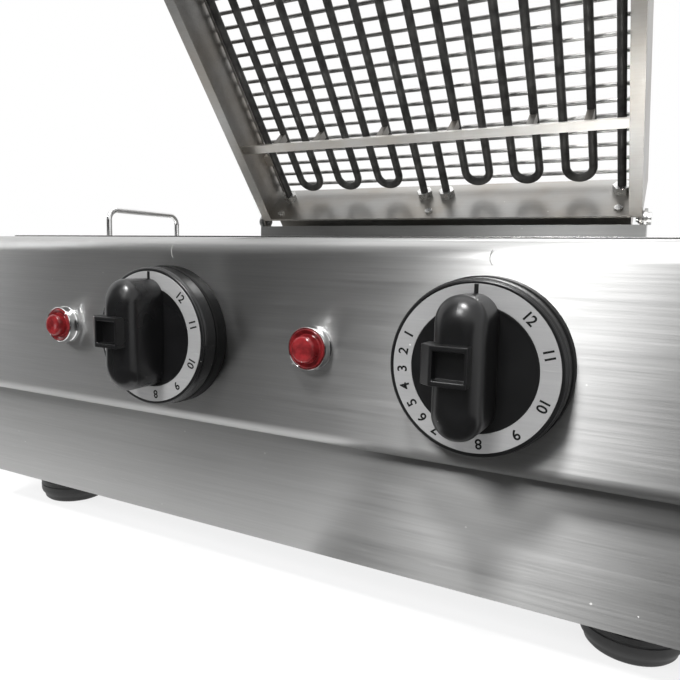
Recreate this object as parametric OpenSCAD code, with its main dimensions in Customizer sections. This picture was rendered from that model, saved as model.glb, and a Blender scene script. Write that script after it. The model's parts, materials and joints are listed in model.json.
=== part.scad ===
// Two-zone countertop electric cooking unit: a steel body with a lift-out liquid pan, and a
// cooking frame with two tube heating elements and a wire grid that tilts up on rear hinges.
// Millimetres, +Z up, +Y towards the back, origin on the floor under the middle of the unit.

/* [Body] */
// Width of the hood
body_w = 450; // [436:2:480]
// Depth of the hood, front face to back face
body_d = 296; // [294:1:320]
// Height from the casing's underside to the deck
body_h = 155; // [140:1:200]
// Height of the hood's front face
hood_h = 96; // [92:1:110]
// Distance of the lower casing inside the hood on every side
casing_inset = 12; // [10:0.5:18]
// Sheet thickness of the hood and the cooking frame
sheet = 1.5; // [1:0.1:2]
// Sheet thickness of the lower casing and its plates
casing_sheet = 1.2; // [0.8:0.1:1.6]
// Outer radius of the bend between deck and front face
edge_r = 9; // [6:0.5:12]
// Outer radius of the bend under the front face
lip_r = 7; // [4:0.5:9]
// Outer radius along the deck's sides
side_r = 4; // [3:0.5:6]

/* [Feet] */
// Diameter of a rubber foot
foot_d = 44; // [34:1:50]
// Height of a rubber foot
foot_h = 22; // [14:1:30]
// Distance of a foot's centre from the casing's side
foot_in_x = 34; // [27:1:50]
// Distance of a foot's centre from the casing's front or back
foot_in_y = 36; // [27:1:50]
// Screw size of the feet and of the outer fasteners
screw_d = 4; // [3:0.5:5]

/* [Liquid pan] */
// Outer width of the pan's well
pan_w = 376; // [360:2:380]
// Outer length of the pan's well, front to back
pan_l = 194; // [180:1:196]
// Distance of the well's front wall behind the front face
pan_y = 38; // [37:0.5:40]
// Depth of the well below the deck
pan_depth = 48; // [30:1:60]
// Wall thickness of the pan
pan_wall = 1; // [0.7:0.1:1.5]
// Corner radius of the well, seen from above
pan_r = 14; // [8:1:24]
// Width of the pan's rim at its two sides
rim_side = 25; // [24:0.5:26]
// Width of the pan's rim at its front and back
rim_end = 8; // [5:0.5:8]
// Rod diameter of a pan handle
handle_rod = 4.5; // [3.5:0.5:5]
// Length of a pan handle, front to back
handle_l = 80; // [60:1:110]
// Height of a pan handle above the rim
handle_h = 25; // [20:1:40]
// Centre-line radius of a handle's bends
handle_bend = 8; // [6:0.5:10]

/* [Cooking frame] */
// Outer width of the cooking frame
frame_w = 317; // [312:1:322]
// Outer length of the cooking frame
frame_l = 232; // [228:1:236]
// Height of the cooking frame's walls
frame_h = 45; // [44:0.5:52]
// Width of the flange under the side and front walls
frame_flange = 7; // [6.5:0.5:10]
// How far the frame stands open
open_angle = 49.5; // [46:0.5:56]
// Hinge axis behind the front face
hinge_y = 252; // [251:0.5:254]
// Hinge axis above the deck
hinge_z = 23; // [22:0.5:28]
// Hinge axis behind the frame's back wall
hinge_back = 4; // [3.8:0.1:5]
// Hinge axis above the frame's underside
hinge_up = 4; // [3:0.1:5]
// Diameter of a hinge pin
pin_d = 5; // [4:0.5:5.5]
// Radius of the frame's hinge lugs
lug_r = 5.5; // [5:0.1:5.8]
// Sheet thickness of the hinge bracket
bracket_t = 2; // [1.5:0.1:2.5]
// Depth of the terminal cover behind the frame
cover_d = 22; // [20:0.5:23]

/* [Heating elements] */
// Tube diameter of an element
tube_d = 6; // [5:0.1:7]
// Distance between two legs
leg_pitch = 19; // [17:0.1:19.2]
// Legs of one element
legs = 8; // [6:2:8]
// Height of the tubes' centre above the frame's underside
tube_z = 30; // [29:0.5:31]
// Gap from the back wall to the nearest bend
back_gap = 11; // [10:0.5:16]
// Gap from the front wall to the nearest bend
front_gap = 12; // [8:0.5:20]

/* [Supports and grid] */
// Width of a support bar
bar_w = 7; // [5:0.5:11]
// Thickness of a support bar
bar_t = 2; // [1.5:0.1:3]
// Height of a support bar's underside in the frame
bar_z = 11; // [8:0.5:14]
// Distance of the first support bar from the back wall
bar_back = 66; // [55:1:80]
// Distance between the support bars
bar_gap = 131; // [100:1:134]
// Wire diameter of the grid
wire_d = 3; // [2.5:0.1:3.5]
// Distance between two grid wires
wire_pitch = 11.2; // [9:0.1:14]
// Diameter of the grid's side rails
rail_d = 5; // [4:0.1:5.5]

/* [Controls] */
// Distance between the two knobs
knob_pitch = 164.3; // [155:0.1:170]
// Middle of the two knobs, to the right of the unit's middle
knob_mid = 37.75; // [34:0.05:42]
// Depth of the knob and lamp centres below the deck
control_z = 50; // [48:0.5:52]
// Distance of a lamp to the left of its knob
lamp_left = 79.5; // [74:0.1:84]
// Diameter of a knob's skirt
skirt_d = 69.4; // [64:0.1:70]
// Thickness of a knob's skirt
skirt_t = 8.9; // [8:0.1:10]
// Thickness of the fixed collar behind a knob
collar_t = 7; // [6:0.1:8]
// Outer diameter of the dial ring
dial_d = 65; // [60:0.1:65.4]
// Inner diameter of the dial ring
dial_hole_d = 49.8; // [46:0.1:51]
// Thickness of the dial ring
dial_t = 0.6; // [0.4:0.1:1]
// Width of a knob's grip
grip_w = 19; // [16:0.1:20]
// Height of a knob's grip above its axis
grip_up = 29; // [26:0.5:30]
// Height of a knob's grip below its axis
grip_down = 24.5; // [23:0.5:28]
// Length that a grip stands out of the dial
grip_out = 22.4; // [18:0.1:24]
// Diameter of a control shaft
shaft_d = 6; // [5:0.5:6.5]
// Outer diameter of a lamp's bezel
lamp_d = 20.8; // [20:0.1:24]
// Diameter of a lamp's lens
lens_d = 18.2; // [17:0.1:18.8]

/* [Clearances] */
// Gap between pieces that move past each other
gap = 0.3; // [0.3:0.05:0.4]
// Radial clearance of a turning shaft or pin
run_fit = 0.05; // [0.03:0.01:0.08]
// Radial clearance of a fastener's hole
hole_fit = 0.2; // [0.1:0.05:0.3]

/* [Hidden] */
$fn = 64;

// The boss on a grip: its size, its middle and how far it stands out of the grip
boss_w = 18;
boss_h = 14.5;
boss_x = -3.2;
boss_z = 4.4;
boss_out = 4.5;
// Its left side slopes back by this much across and in depth
boss_slope = [4.3, 3.1];
// Its walls: left, right, and above and below the recess
boss_wall = [5.4, 1.1, 2.1];
boss_recess = 4;
// Roundings of the grip's front: at its sides, and at its ends
grip_edge = 5;
grip_end = 9;

// Heights and places that follow from the driving sizes
deck_z = foot_h + body_h;
dial_y = -(collar_t + gap + skirt_t);
grip_y = dial_y - grip_out;
knob_front = grip_y - boss_out;
panel_y = -(body_d + knob_front) / 2;
casing_x = body_w / 2 - casing_inset;
casing_back = body_d - casing_inset;
lip_top = -hood_h + sheet;
flange_w = casing_inset - sheet - 0.5;
casing_top = lip_top + 14;
floor_top = casing_sheet - body_h;
fold_w = 12;
foot_x = casing_x - foot_in_x;
foot_y = [casing_inset + foot_in_y, casing_back - foot_in_y];
head_d = 1.9 * screw_d;
head_t = 0.55 * screw_d;

// Pan, rim and handles
pan_mid = pan_y + pan_l / 2;
rim_t = 1.2;
rim_z = gap;
rim_w = pan_w + 2 * rim_side;
rim_l = pan_l + 2 * rim_end;
opening_gap = 2;
handle_x = rim_w / 2 - handle_rod / 2 - 2;
handle_mid = pan_mid + 13;
leg_z = rim_z + rim_t;

// Cooking frame
frame_x = frame_w / 2;
wall_in = frame_x - sheet;
rest_d = frame_flange;
closed_z = hinge_z - hinge_up;
rest_h = closed_z - gap;
washer_t = 0.9;
ear_x = frame_x + gap + washer_t;
ear_r = 7;
upstand_h = closed_z - 0.5;
upstand_y = hinge_y - hinge_back - sheet;
bracket_l = 44;

// Elements: leg places, bends and terminals
leg_x = [for (i = [0:legs - 1]) leg_pitch * (i + 0.5)];
bend_r = leg_pitch / 2;
tube_r = tube_d / 2;
back_bend = back_gap + tube_r + bend_r;
front_bend = frame_l - front_gap - tube_r - bend_r - sheet;
tube_end = 8;
end_x = [leg_x[0], leg_x[legs - 1]];
terminal_x = concat([for (x = end_x) -x], end_x);
gland_r = tube_r + 1.5;
gland_hex = 2 * gland_r + 4;
gland_t = 5.5;
bead_t = 5;
stud_end = tube_end + bead_t + 4;

// Terminal cover
cover_w = 2 * end_x[1] + 16;
cover_lo = 12;
cover_hi = frame_h - 3;
cover_t = 1;
cover_fold = 8;
cover_screw_z = cover_lo - cover_fold / 2;
cover_screw_x = [-end_x[1], 0, end_x[1]];

// Bars, clips and grid
bar_y = [bar_back, bar_back + bar_gap];
clip_legs = [1, 4, 6];
clip_w = tube_d - 1;
wire_z = frame_h - wire_d / 2 - 0.5;
weld = 0.3;
rail_z = wire_z - wire_d / 2 - rail_d / 2 + weld;
rail_x = wall_in - rail_d / 2 - 2;
wire_x = wall_in - 1;
wire_margin = 10;
wires = floor((frame_l - 2 * wire_margin) / wire_pitch) + 1;
rail_end = wire_margin - 4;
grid_clip_l = 10;
grid_clip_y = [40, frame_l - 40];

// Lift handle of the frame
grip_bar_d = 13;
post_d = 6;
post_gap = 90;
post_out = 26;
post_z = frame_h / 2;

// Controls
knob_x = [knob_mid - knob_pitch / 2, knob_mid + knob_pitch / 2];
lamp_x = [for (x = knob_x) x - lamp_left];
bush_r = shaft_d / 2 + 2;
reg_w = 34;
reg_h = 34;
reg_d = pan_y - sheet - 9;
reg_screw_x = 14;
hub_r = bush_r + 3;
shaft_in = 12;
lamp_r = lamp_d / 2;
lens_r = lens_d / 2;
lamp_neck_r = 6.2;
lamp_nut_d = 20;
lamp_out = 6;
button_r = 6.1;
button_out = 4.2;

// Back of the unit
block_w = 60;
block_d = 22;
block_h = 18;
block_to_back = 60;
gland_x = 93 - casing_x;
gland_z = -125;
gland_thread_r = 8;
gland_out = casing_inset - 0.5;

// ---------- placing ----------

// Draws its children from the front face and the deck
module from_panel() {
    translate([0, panel_y, deck_z]) children();
}

// Draws its children in the cooking frame: Y from the back wall, Z from the underside
module in_frame() {
    from_panel() translate([0, hinge_y, hinge_z]) rotate([-open_angle, 0, 0])
        translate([0, -hinge_back, -hinge_up]) children();
}

module left_and_right() {
    children();
    mirror([1, 0, 0]) children();
}

// A cylinder along X, Y or Z from a to b
module along_x(d, a, b) {
    translate([a, 0, 0]) rotate([0, 90, 0]) cylinder(d = d, h = b - a);
}

module along_y(d, a, b) {
    translate([0, a, 0]) rotate([-90, 0, 0]) cylinder(d = d, h = b - a);
}

module along_z(d, a, b) {
    translate([0, 0, a]) cylinder(d = d, h = b - a);
}

// A box from one corner to the opposite one
module span_box(a, b) {
    translate(a) cube(b - a);
}

// A turned piece about the Y axis; its profile has the radius as x and -Y as y
module turned() {
    rotate([90, 0, 0]) rotate_extrude() children();
}

// A rectangle with four round corners, middle at the origin
module round_rect(w, l, r) {
    square([w - 2 * r, l], center = true);
    square([w, l - 2 * r], center = true);
    for (x = [-1, 1], y = [-1, 1])
        translate([x * (w / 2 - r), y * (l / 2 - r)]) circle(r);
}

// A quarter of a ring of round rod, in the YZ plane, from +Y round to +Z
module rod_bend(r, d) {
    rotate([90, 0, 90]) rotate_extrude(angle = 90) translate([r, 0]) circle(d = d);
}

// A pan-head screw along +Z; its head's underside is at zero and its head points down
module screw(length) {
    along_z(screw_d, 0, length);
    along_z(head_d, -head_t, 0);
}

// ---------- body ----------

// Side outline of the hood, drawn inwards by i, as (Y, Z)
module hood_side(i) {
    top_r = edge_r - i;
    low_r = lip_r - i;
    translate([i + top_r, i - hood_h]) square([body_d - 2 * i - top_r, hood_h - 2 * i]);
    translate([i, i - hood_h + low_r]) square([body_d - 2 * i, hood_h - 2 * i - low_r - top_r]);
    translate([i + top_r, -i - top_r]) circle(top_r);
    translate([i + low_r, i - hood_h + low_r]) circle(low_r);
    translate([i + low_r, i - hood_h]) square([top_r, low_r]);
}

// Front outline of the hood, drawn inwards by i, as (X, Z)
module hood_front(i) {
    r = side_r - i;
    w = body_w / 2 - i;
    translate([-w, i - hood_h]) square([2 * w, hood_h - 2 * i - r]);
    translate([r - w, -i - r]) square([2 * (w - r), r]);
    for (x = [-1, 1]) translate([x * (w - r), -i - r]) circle(r);
}

module hood_block(i) {
    intersection() {
        rotate([90, 0, 90]) translate([0, 0, -body_w / 2]) linear_extrude(body_w) hood_side(i);
        translate([0, body_d, 0]) rotate([90, 0, 0]) linear_extrude(body_d) hood_front(i);
    }
}

// Places for the screws that hold the hood's return lip to the casing's flange
module at_hood_screws() {
    x = body_w / 2 - casing_inset / 2;
    for (sx = [-1, 1], y = [60, body_d / 2, body_d - 60]) translate([sx * x, y, 0]) children();
    for (sx = [-1, 0, 1]) translate([sx * body_w / 3, body_d - casing_inset / 2, 0]) children();
}

module hood() {
    color("silver") from_panel() difference() {
        hood_block(0);
        hood_block(sheet);
        // Opening in the deck for the pan's well
        translate([0, pan_mid, -2 * sheet]) linear_extrude(3 * sheet)
            round_rect(pan_w + 2 * opening_gap, pan_l + 2 * opening_gap, pan_r + opening_gap);
        // Open underside, inside the return lip
        span_box([-casing_x, casing_inset, -hood_h - 1], [casing_x, casing_back, lip_top + 1]);
        for (x = knob_x) translate([x, 0, -control_z]) {
            along_y(2 * (bush_r + hole_fit), -1, sheet + 1);
            for (s = [-1, 1]) translate([s * reg_screw_x, 0, 0])
                along_y(3 + 2 * hole_fit, -1, sheet + 1);
        }
        for (x = lamp_x) translate([x, 0, -control_z])
            along_y(2 * (lamp_neck_r + hole_fit), -1, sheet + 1);
        at_hood_screws() along_z(screw_d + 2 * hole_fit, -hood_h - 1, lip_top + 1);
        at_bracket_screws() along_z(screw_d + 2 * hole_fit, -sheet - 1, 1);
    }
}

// A frame in plan from height a to b: front, out and t are how far it reaches outside the
// casing's front wall, outside its other walls, and inside them all
module casing_ring(a, b, front, out, t) {
    difference() {
        span_box([-casing_x - out, casing_inset - front, a],
                 [casing_x + out, casing_back + out, b]);
        span_box([t - casing_x, casing_inset + t, a - 1], [casing_x - t, casing_back - t, b + 1]);
    }
}

module lower_casing() {
    color("silver") from_panel() difference() {
        union() {
            casing_ring(-body_h, casing_top, 0, 0, casing_sheet);
            casing_ring(lip_top, lip_top + casing_sheet, casing_inset - lip_r, flange_w,
                        casing_sheet);
            casing_ring(floor_top, floor_top + casing_sheet, 0, 0, fold_w);
        }
        // The back is closed by the rear panel
        span_box([fold_w - casing_x, casing_back - fold_w - 1, floor_top + casing_sheet],
                 [casing_x - fold_w, casing_back + 1, -hood_h]);
        at_hood_screws() along_z(screw_d + 2 * hole_fit, -hood_h, lip_top + 2 * casing_sheet);
        at_rear_screws() along_y(screw_d + 2 * hole_fit, -2 * casing_sheet, casing_sheet);
    }
}

module base_plate() {
    edge = casing_sheet + gap;
    color("gainsboro") from_panel() difference() {
        span_box([edge - casing_x, casing_inset + edge, -body_h],
                 [casing_x - edge, casing_back - edge, floor_top]);
        at_feet() along_z(screw_d + 2 * hole_fit, -body_h - 1, floor_top + 1);
        // Cooling slots
        for (i = [-7:7]) translate([i * 16 - 3, body_d / 2 - 35, -body_h - 1])
            cube([6, 70, 3 * casing_sheet]);
    }
}

module at_feet() {
    for (x = [-foot_x, foot_x], y = foot_y) translate([x, y, 0]) children();
}

module at_rear_screws() {
    for (x = [-1, 1], z = [0.25, 0.75])
        translate([x * (casing_x - fold_w / 2), casing_back, lip_top - z * (body_h - hood_h)])
            children();
}

module rear_panel() {
    half = casing_x;
    color("silver") from_panel() difference() {
        span_box([-half, casing_back, -body_h], [half, casing_back + casing_sheet, -hood_h]);
        translate([gland_x, casing_back, gland_z])
            along_y(2 * (gland_thread_r + hole_fit), -1, 2 * casing_sheet);
        at_rear_screws() along_y(screw_d + 2 * hole_fit, -1, 2 * casing_sheet);
        // Cooling slots
        for (i = [0:9]) translate([40 + i * 12, casing_back - 1, gland_z - 12])
            cube([5, 3 * casing_sheet, 24]);
    }
}

module rear_screws() {
    color("gainsboro") from_panel() at_rear_screws() translate([0, casing_sheet, 0])
        rotate([90, 0, 0]) screw(6);
}

module hood_screws() {
    color("gainsboro") from_panel() translate([0, 0, -hood_h]) at_hood_screws()
        screw(sheet + casing_sheet + 3);
}

module feet() {
    r = foot_d / 2;
    color("black") from_panel() at_feet() translate([0, 0, -body_h - foot_h]) difference() {
        rotate_extrude() union() {
            square([r - 5, foot_h]);
            translate([0, 3]) square([r - 2, foot_h - 3]);
            translate([r - 5, 3]) circle(3);
            translate([0, 7]) square([r, foot_h - 7]);
            translate([r - 4, 7]) circle(4);
        }
        along_z(head_d + 3, -1, foot_h - 5);
        along_z(screw_d + 2 * hole_fit, 0, foot_h + 1);
    }
}

module foot_screws() {
    color("gainsboro") from_panel() at_feet() translate([0, 0, -body_h - 5])
        screw(5 + 2 * casing_sheet + 4);
}

// Vertical sheet between the pan and the controls, hung from the deck by a flange
module heat_shield() {
    y = sheet + reg_d + 1.5;
    top = -sheet;
    color("gainsboro") from_panel() {
        span_box([-casing_x + 8, y, -control_z - 38], [casing_x - 8, y + 1, top]);
        span_box([-casing_x + 8, y - 1.2, top - 1], [casing_x - 8, y, top]);
    }
}

module terminal_block() {
    color("white") from_panel() translate([gland_x - block_w / 2, casing_back - block_to_back, floor_top])
        difference() {
            cube([block_w, block_d, block_h]);
            for (i = [0:4]) translate([6 + i * 12, block_d / 2, 8]) along_z(5, 0, block_h - 7);
            for (i = [0:3]) translate([11 + i * 12, -1, 12]) cube([2, block_d + 2, block_h]);
        }
}

module cable_gland() {
    r = gland_thread_r;
    color("dimgray") from_panel() translate([gland_x, casing_back + casing_sheet, gland_z])
        difference() {
            union() {
                along_y(2 * r, -14, 1);
                rotate([-90, 0, 0]) cylinder(d = 2 * r + 8, h = 5, $fn = 6);
                along_y(2 * r + 3, 5, gland_out - casing_sheet);
            }
            along_y(10, -15, gland_out + 1);
        }
}

module gland_nut() {
    r = gland_thread_r;
    color("dimgray") from_panel() translate([gland_x, casing_back, gland_z]) difference() {
        translate([0, -5, 0]) rotate([-90, 0, 0]) cylinder(d = 2 * r + 8, h = 5, $fn = 6);
        along_y(2 * (r + run_fit), -6, 1);
    }
}

// ---------- liquid pan ----------

module pan() {
    color("silver") from_panel() translate([0, pan_mid, 0]) difference() {
        union() {
            translate([0, 0, rim_z]) linear_extrude(rim_t) round_rect(rim_w, rim_l, 5);
            translate([0, 0, -pan_depth]) linear_extrude(pan_depth + rim_z + rim_t)
                round_rect(pan_w, pan_l, pan_r);
        }
        translate([0, 0, pan_wall - pan_depth]) linear_extrude(pan_depth + 3)
            round_rect(pan_w - 2 * pan_wall, pan_l - 2 * pan_wall, pan_r - pan_wall);
    }
}

// A bent rod loop that stands on the rim
module pan_handle(side) {
    half = handle_l / 2 - handle_rod / 2;
    top = handle_h - handle_rod / 2;
    color("silver") from_panel() translate([side * handle_x, handle_mid, leg_z]) {
        for (s = [-1, 1]) translate([0, s * half, 0]) along_z(handle_rod, 0, top - handle_bend);
        translate([0, half - handle_bend, top - handle_bend]) rod_bend(handle_bend, handle_rod);
        translate([0, handle_bend - half, top - handle_bend]) mirror([0, 1, 0])
            rod_bend(handle_bend, handle_rod);
        translate([0, 0, top]) along_y(handle_rod, handle_bend - half, half - handle_bend);
    }
}

module pan_handle_left() {
    pan_handle(-1);
}

module pan_handle_right() {
    pan_handle(1);
}

// ---------- hinges ----------

module at_bracket_screws() {
    for (x = [-1, -1 / 3, 1 / 3, 1])
        translate([x * (frame_x - 16), upstand_y + bracket_l - 8, 0]) children();
}

// Upstand along the back of the deck, with an ear at each end for a hinge pin
module hinge_bracket() {
    out = ear_x + bracket_t;
    color("silver") from_panel() difference() {
        union() {
            span_box([-out, upstand_y, 0], [out, upstand_y + bracket_l, sheet]);
            span_box([-out, upstand_y, 0], [out, upstand_y + sheet, upstand_h]);
            left_and_right() {
                span_box([ear_x, upstand_y, 0], [out, hinge_y + ear_r, upstand_h]);
                span_box([ear_x, hinge_y - ear_r + 2, sheet], [out, hinge_y + ear_r, hinge_z]);
                translate([0, hinge_y, hinge_z]) along_x(2 * ear_r, ear_x, out);
            }
        }
        translate([0, hinge_y, hinge_z]) left_and_right() along_x(pin_d, ear_x - 1, out + 1);
        at_bracket_screws() along_z(screw_d + 2 * hole_fit, -1, sheet + 1);
    }
}

module bracket_screws() {
    color("gainsboro") from_panel() translate([0, 0, sheet]) at_bracket_screws()
        mirror([0, 0, 1]) screw(2 * sheet + 4);
}

module hinge_pins() {
    out = ear_x + bracket_t;
    color("gainsboro") from_panel() translate([0, hinge_y, hinge_z]) left_and_right() {
        along_x(pin_d, wall_in - 2.6, out);
        along_x(pin_d + 4, out, out + 2.5);
    }
}

module friction_washers() {
    color("dimgray") from_panel() translate([0, hinge_y, hinge_z]) left_and_right()
        difference() {
            along_x(2 * lug_r, frame_x + gap, ear_x);
            along_x(pin_d + 2 * run_fit, frame_x, ear_x + 1);
        }
}

module retaining_rings() {
    color("dimgray") from_panel() translate([0, hinge_y, hinge_z]) left_and_right()
        difference() {
            along_x(2 * (hinge_back - 0.5), wall_in - gap - 1, wall_in - gap);
            along_x(pin_d + 2 * run_fit, wall_in - 2, wall_in);
        }
}

// ---------- cooking frame ----------

module cooking_frame() {
    color("silver") in_frame() difference() {
        union() {
            difference() {
                span_box([-frame_x, -frame_l, 0], [frame_x, 0, frame_h]);
                span_box([-wall_in, sheet - frame_l, -1], [wall_in, -sheet, frame_h + 1]);
            }
            // Flange under the side walls and the front wall
            left_and_right() span_box([wall_in - frame_flange, -frame_l, 0],
                                      [frame_x, -sheet, sheet]);
            span_box([-frame_x, -frame_l, 0], [frame_x, sheet + frame_flange - frame_l, sheet]);
            left_and_right() hinge_lug();
        }
        translate([0, hinge_back, hinge_up]) left_and_right()
            along_x(pin_d + 2 * run_fit, wall_in - 1, frame_x + 1);
        for (x = terminal_x) translate([x, 0, tube_z]) along_y(2 * gland_r, -sheet - 1, 1);
        at_cover_screws() along_y(3 + 2 * hole_fit, -sheet - 1, 1);
        for (s = [-1, 1]) translate([s * post_gap / 2, 0, post_z])
            along_y(post_d - 2 + 2 * hole_fit, -frame_l - 1, sheet + 1 - frame_l);
    }
}

module hinge_lug() {
    translate([0, hinge_back, hinge_up]) along_x(2 * lug_r, wall_in, frame_x);
    span_box([wall_in, -sheet, hinge_up], [frame_x, hinge_back, hinge_up + lug_r]);
}

module frame_rests() {
    x = wall_in - rest_d / 2;
    color("black") in_frame() for (s = [-1, 1])
        translate([s * x, sheet + rest_d / 2 - frame_l, 0]) along_z(rest_d, -rest_h, 0);
}

module support_bars() {
    color("lightgray") in_frame() for (y = bar_y)
        span_box([-wall_in, -y - bar_w / 2, bar_z], [wall_in, -y + bar_w / 2, bar_z + bar_t]);
}

// Posts on the bars, each with a saddle for a leg of an element
module element_clips() {
    color("dimgray") in_frame() for (s = [-1, 1], y = bar_y, i = clip_legs)
        translate([s * leg_x[i], -y, 0]) difference() {
            span_box([-clip_w / 2, -3, bar_z + bar_t], [clip_w / 2, 3, tube_z]);
            translate([0, 0, tube_z]) along_y(tube_d + 2 * run_fit, -4, 4);
        }
}

// A tube bent to and fro: its two ends go straight out through the back wall
module element() {
    for (i = [0:legs - 1]) translate([leg_x[i], 0, tube_z])
        along_y(tube_d, -front_bend, i == 0 || i == legs - 1 ? tube_end : -back_bend);
    for (i = [0:2:legs - 2]) translate([leg_x[i] + bend_r, -front_bend, tube_z])
        rotate([0, 0, 180]) rotate_extrude(angle = 180) translate([bend_r, 0]) circle(tube_r);
    for (i = [1:2:legs - 3]) translate([leg_x[i] + bend_r, -back_bend, tube_z])
        rotate_extrude(angle = 180) translate([bend_r, 0]) circle(tube_r);
}

module element_left() {
    color([0.16, 0.16, 0.17]) in_frame() mirror([1, 0, 0]) element();
}

module element_right() {
    color([0.16, 0.16, 0.17]) in_frame() element();
}

// Bushes that carry the ends of the elements through the back wall
module element_glands() {
    color("gainsboro") in_frame() for (x = terminal_x) translate([x, 0, tube_z]) difference() {
        union() {
            translate([0, -sheet - gland_t, 0]) rotate([-90, 0, 0])
                cylinder(d = gland_hex, h = gland_t, $fn = 6);
            along_y(2 * gland_r, -sheet, 5.5);
        }
        along_y(tube_d, -sheet - gland_t - 1, 7);
    }
}

module gland_lock_nuts() {
    color("gainsboro") in_frame() for (x = terminal_x) translate([x, 0, tube_z]) difference() {
        rotate([-90, 0, 0]) cylinder(d = gland_hex, h = 3, $fn = 6);
        along_y(2 * gland_r, -1, 4);
    }
}

module ceramic_beads() {
    color("ivory") in_frame() for (x = terminal_x) translate([x, 0, tube_z]) difference() {
        along_y(tube_d + 1, tube_end, tube_end + bead_t);
        along_y(3, tube_end - 1, tube_end + bead_t + 1);
    }
}

module terminal_studs() {
    color("gainsboro") in_frame() for (x = terminal_x) translate([x, 0, tube_z])
        along_y(3, tube_end, stud_end);
}

module at_cover_screws() {
    for (x = cover_screw_x) translate([x, 0, cover_screw_z]) children();
}

// Sheet box over the terminals; screws hold the fold below it to the back wall
module terminal_cover() {
    half = cover_w / 2;
    color("silver") in_frame() difference() {
        union() {
            difference() {
                span_box([-half, 0, cover_lo], [half, cover_d, cover_hi]);
                span_box([cover_t - half, -1, cover_lo + cover_t],
                         [half - cover_t, cover_d - cover_t, cover_hi - cover_t]);
            }
            span_box([-half, 0, cover_lo - cover_fold], [half, cover_t, cover_lo + cover_t]);
        }
        at_cover_screws() along_y(3 + 2 * hole_fit, -1, cover_t + 1);
    }
}

module cover_screws() {
    color("gainsboro") in_frame() at_cover_screws() {
        along_y(3, -sheet, cover_t + 3);
        along_y(6, -sheet - 1.8, -sheet);
    }
}

// Wires across the frame, welded on two side rails
module grid() {
    color("gray") in_frame() {
        for (i = [0:wires - 1]) translate([0, -wire_margin - i * wire_pitch, wire_z])
            along_x(wire_d, -wire_x, wire_x);
        for (s = [-1, 1]) translate([s * rail_x, 0, rail_z])
            along_y(rail_d, rail_end - frame_l, -rail_end);
    }
}

// Brackets on the side walls that the grid's rails lie in
module grid_clips() {
    color("gainsboro") in_frame() left_and_right() for (y = grid_clip_y)
        translate([0, -y, 0]) difference() {
            span_box([rail_x - rail_d / 2, -grid_clip_l / 2, rail_z - rail_d / 2 - 2],
                     [wall_in, grid_clip_l / 2, rail_z]);
            translate([rail_x, 0, rail_z])
                along_y(rail_d + 2 * run_fit, -grid_clip_l, grid_clip_l);
        }
}

module handle_posts() {
    color("silver") in_frame() for (s = [-1, 1]) translate([s * post_gap / 2, 0, post_z]) {
        along_y(post_d, -frame_l - post_out, -frame_l);
        along_y(post_d - 2, -frame_l, sheet + 4 - frame_l);
    }
}

module handle_grip() {
    r = grip_bar_d / 2;
    end = post_gap / 2 + r + 2;
    color("black") in_frame() translate([0, -frame_l - post_out, post_z]) difference() {
        rotate([0, 90, 0]) translate([0, 0, -end]) rotate_extrude() {
            square([r - 3, 2 * end]);
            translate([0, 3]) square([r, 2 * end - 6]);
            for (z = [3, 2 * end - 3]) translate([r - 3, z]) circle(3);
        }
        for (s = [-1, 1]) translate([s * post_gap / 2, 0, 0]) along_y(post_d, 0, r + 1);
    }
}

// ---------- controls ----------

module at_knob(i) {
    from_panel() translate([knob_x[i], 0, -control_z]) children();
}

// Skirt and grip in one moulding, with a socket for the shaft
module knob(i) {
    r = skirt_d / 2;
    back = -collar_t - gap;
    color([0.08, 0.08, 0.09]) at_knob(i) difference() {
        union() {
            turned() {
                translate([0, -back]) square([r, skirt_t - 1.5]);
                translate([0, -back]) square([r - 1.5, skirt_t]);
                translate([r - 1.5, -dial_y - 1.5]) circle(1.5);
            }
            grip();
        }
        // Seat of the dial ring
        translate([0, dial_y, 0]) difference() {
            along_y(dial_d, -1, dial_t);
            along_y(dial_hole_d, -2, dial_t + 1);
        }
        along_y(shaft_d, dial_y - shaft_in + skirt_t, back + 1);
        span_box([boss_x - boss_w / 2 + boss_wall[0], knob_front - 1,
                  boss_z - boss_h / 2 + boss_wall[2]],
                 [boss_x + boss_w / 2 - boss_wall[1], knob_front + boss_recess,
                  boss_z + boss_h / 2 - boss_wall[2]]);
    }
}

// A rectangle whose two corners at the low end of X are round with radius r
module round_front(l, w, r) {
    translate([r, -w / 2]) square([l - r, w]);
    translate([0, r - w / 2]) square([l, w - 2 * r]);
    for (y = [-1, 1]) translate([r, y * (w / 2 - r)]) circle(r);
}

// An upright bar, rounded as seen from the front, from the side and from above
module grip() {
    r = grip_w / 2;
    deep = dial_y + 1 - grip_y;
    tall = grip_up + grip_down;
    mid = (grip_up - grip_down) / 2;
    intersection() {
        translate([0, dial_y + 1, mid]) rotate([90, 0, 0]) linear_extrude(deep)
            round_rect(grip_w, tall, r - 0.01);
        translate([-r, grip_y, mid]) rotate([90, 0, 90]) linear_extrude(grip_w)
            round_front(deep, tall, grip_end);
        translate([0, grip_y, mid - tall / 2]) linear_extrude(tall) rotate([0, 0, 90])
            round_front(deep, grip_w, grip_edge);
    }
    boss();
}

// The square socket on the grip's front
module boss() {
    left = boss_x - boss_w / 2;
    right = boss_x + boss_w / 2;
    root = grip_y + grip_edge + 1;
    translate([0, 0, boss_z - boss_h / 2]) linear_extrude(boss_h) polygon([
        [left, root], [left, knob_front + boss_slope[1]], [left + boss_slope[0], knob_front],
        [right, knob_front], [right, root]]);
}

module dial(i) {
    color("lightgray") at_knob(i) difference() {
        along_y(dial_d, dial_y, dial_y + dial_t);
        along_y(dial_hole_d, dial_y - 1, dial_y + dial_t + 1);
    }
}

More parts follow.
